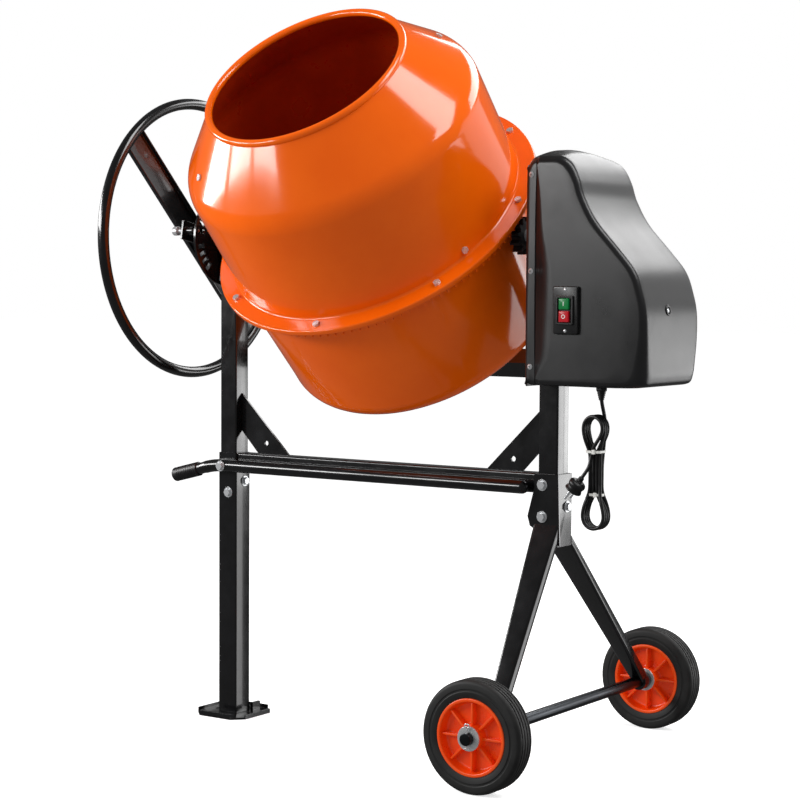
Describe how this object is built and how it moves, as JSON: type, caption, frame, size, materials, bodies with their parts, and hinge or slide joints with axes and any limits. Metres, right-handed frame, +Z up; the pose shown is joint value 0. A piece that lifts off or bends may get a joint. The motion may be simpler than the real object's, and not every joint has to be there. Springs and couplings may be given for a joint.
{
  "type": "concrete mixer",
  "caption": "Portable electric concrete mixer: tilting drum on a yoke with handwheel lock, belt and gear drive, tube frame and transport wheels.",
  "frame": {"origin": "centre of the foot plate's underside, on the ground below the left upright", "axes": "+Z up, +X along the tilt axis from the handwheel side to the motor and wheel side, +Y away from the discharge side"},
  "size_m": [1.1148, 0.8282, 1.3866],
  "materials": {
    "black_paint": "gloss black paint",
    "orange_paint": "gloss orange paint",
    "drum_inside_red": "dark red paint",
    "zinc_steel": "bright zinc plate",
    "dark_iron": "dark cast iron",
    "black_plastic": "satin black moulding",
    "orange_plastic": "orange moulding",
    "tyre_rubber": "solid black rubber",
    "cord_rubber": "black cable sheath",
    "white_plastic": "white ties",
    "green_plastic": "green button",
    "red_plastic": "red button"
  },
  "bodies": {
    "frame": {"foot_plate": "black_paint", "left_leg": "black_paint", "left_post": "black_paint", "right_post": "black_paint", "lower_rail": "black_paint", "left_brace": "black_paint", "right_brace": "black_paint", "carry_bar": "black_paint", "carry_grip": "black_plastic", "stand_socket": "black_paint", "front_stand_leg": "black_paint", "rear_stand_leg": "black_paint", "axle": "zinc_steel", "axle_fixings": "zinc_steel", "leg_bolts": "zinc_steel", "stand_bolts": "zinc_steel", "left_bearing": "dark_iron", "right_bearing": "dark_iron", "lock_disc": "black_paint", "motor_bracket": "dark_iron", "motor_body": "dark_iron", "housing_tray": "black_plastic", "housing_cover": "black_plastic", "housing_screws": "zinc_steel", "switch_plate": "black_plastic", "cable_gland": "black_plastic", "cord_lead": "cord_rubber", "cord_hank": "cord_rubber", "cord_ties": "white_plastic", "cord_plug": "cord_rubber", "drive_belt": "cord_rubber"},
    "yoke": {"yoke_left_arm": "black_paint", "yoke_right_arm": "black_paint", "yoke_cross_tube": "black_paint", "drum_spindle": "dark_iron", "handwheel_rim": "black_paint", "handwheel_bar": "black_paint", "handwheel_hub": "dark_iron", "lock_bracket": "black_paint"},
    "lock_pin": {"lock_pin": "zinc_steel"},
    "drum": {"drum_upper_shell": "orange_paint", "drum_lower_shell": "orange_paint", "drum_bottom": "orange_paint", "drum_hub": "dark_iron", "ring_gear": "dark_iron", "flange_bolts": "zinc_steel", "mixing_blade_a": "drum_inside_red", "mixing_blade_b": "drum_inside_red", "blade_bolts": "zinc_steel"},
    "pinion_line": {"pinion": "dark_iron", "pinion_shaft": "zinc_steel", "large_pulley": "dark_iron"},
    "motor_rotor": {"motor_shaft": "zinc_steel", "motor_pulley": "dark_iron"},
    "front_wheel": {"front_rim": "orange_plastic", "front_tyre": "tyre_rubber"},
    "rear_wheel": {"rear_rim": "orange_plastic", "rear_tyre": "tyre_rubber"},
    "start_button": {"start_button": "green_plastic"},
    "stop_button": {"stop_button": "red_plastic"}
  },
  "joints": [
    {"name": "drum_tilt", "type": "hinge", "parent": "frame", "child": "yoke", "pos_m": [0.372, 0, 0.9675], "axis": [1, 0, 0], "range_deg": [-33.75, 90]},
    {"name": "lock_slide", "type": "slide", "parent": "yoke", "child": "lock_pin", "axis": [1, 0, 0], "range_m": [0, 0.008]},
    {"name": "drum_spin", "type": "hinge", "parent": "yoke", "child": "drum", "pos_m": [0.372, 0, 0.9675], "axis": [0, -0.6756, 0.7373], "continuous": true},
    {"name": "pinion_spin", "type": "hinge", "parent": "yoke", "child": "pinion_line", "pos_m": [0.682, 0, 0.9675], "axis": [1, 0, 0], "continuous": true},
    {"name": "motor_spin", "type": "hinge", "parent": "frame", "child": "motor_rotor", "pos_m": [0.787, 0, 0.7855], "axis": [1, 0, 0], "continuous": true},
    {"name": "front_wheel_spin", "type": "hinge", "parent": "frame", "child": "front_wheel", "pos_m": [0.754, -0.2645, 0.1], "axis": [0, 1, 0], "continuous": true},
    {"name": "rear_wheel_spin", "type": "hinge", "parent": "frame", "child": "rear_wheel", "pos_m": [0.754, 0.3815, 0.1], "axis": [0, 1, 0], "continuous": true},
    {"name": "start_press", "type": "slide", "parent": "frame", "child": "start_button", "axis": [0, 1, 0], "range_m": [0, 0.003], "stiffness_N_per_m": 400},
    {"name": "stop_press", "type": "slide", "parent": "frame", "child": "stop_button", "axis": [0, 1, 0], "range_m": [0, 0.003], "stiffness_N_per_m": 400}
  ],
  "couplings": [
    {"joint": "pinion_spin", "follows": "drum_spin", "ratio": -9.8333},
    {"joint": "motor_spin", "follows": "drum_spin", "ratio": -98.333}
  ]
}
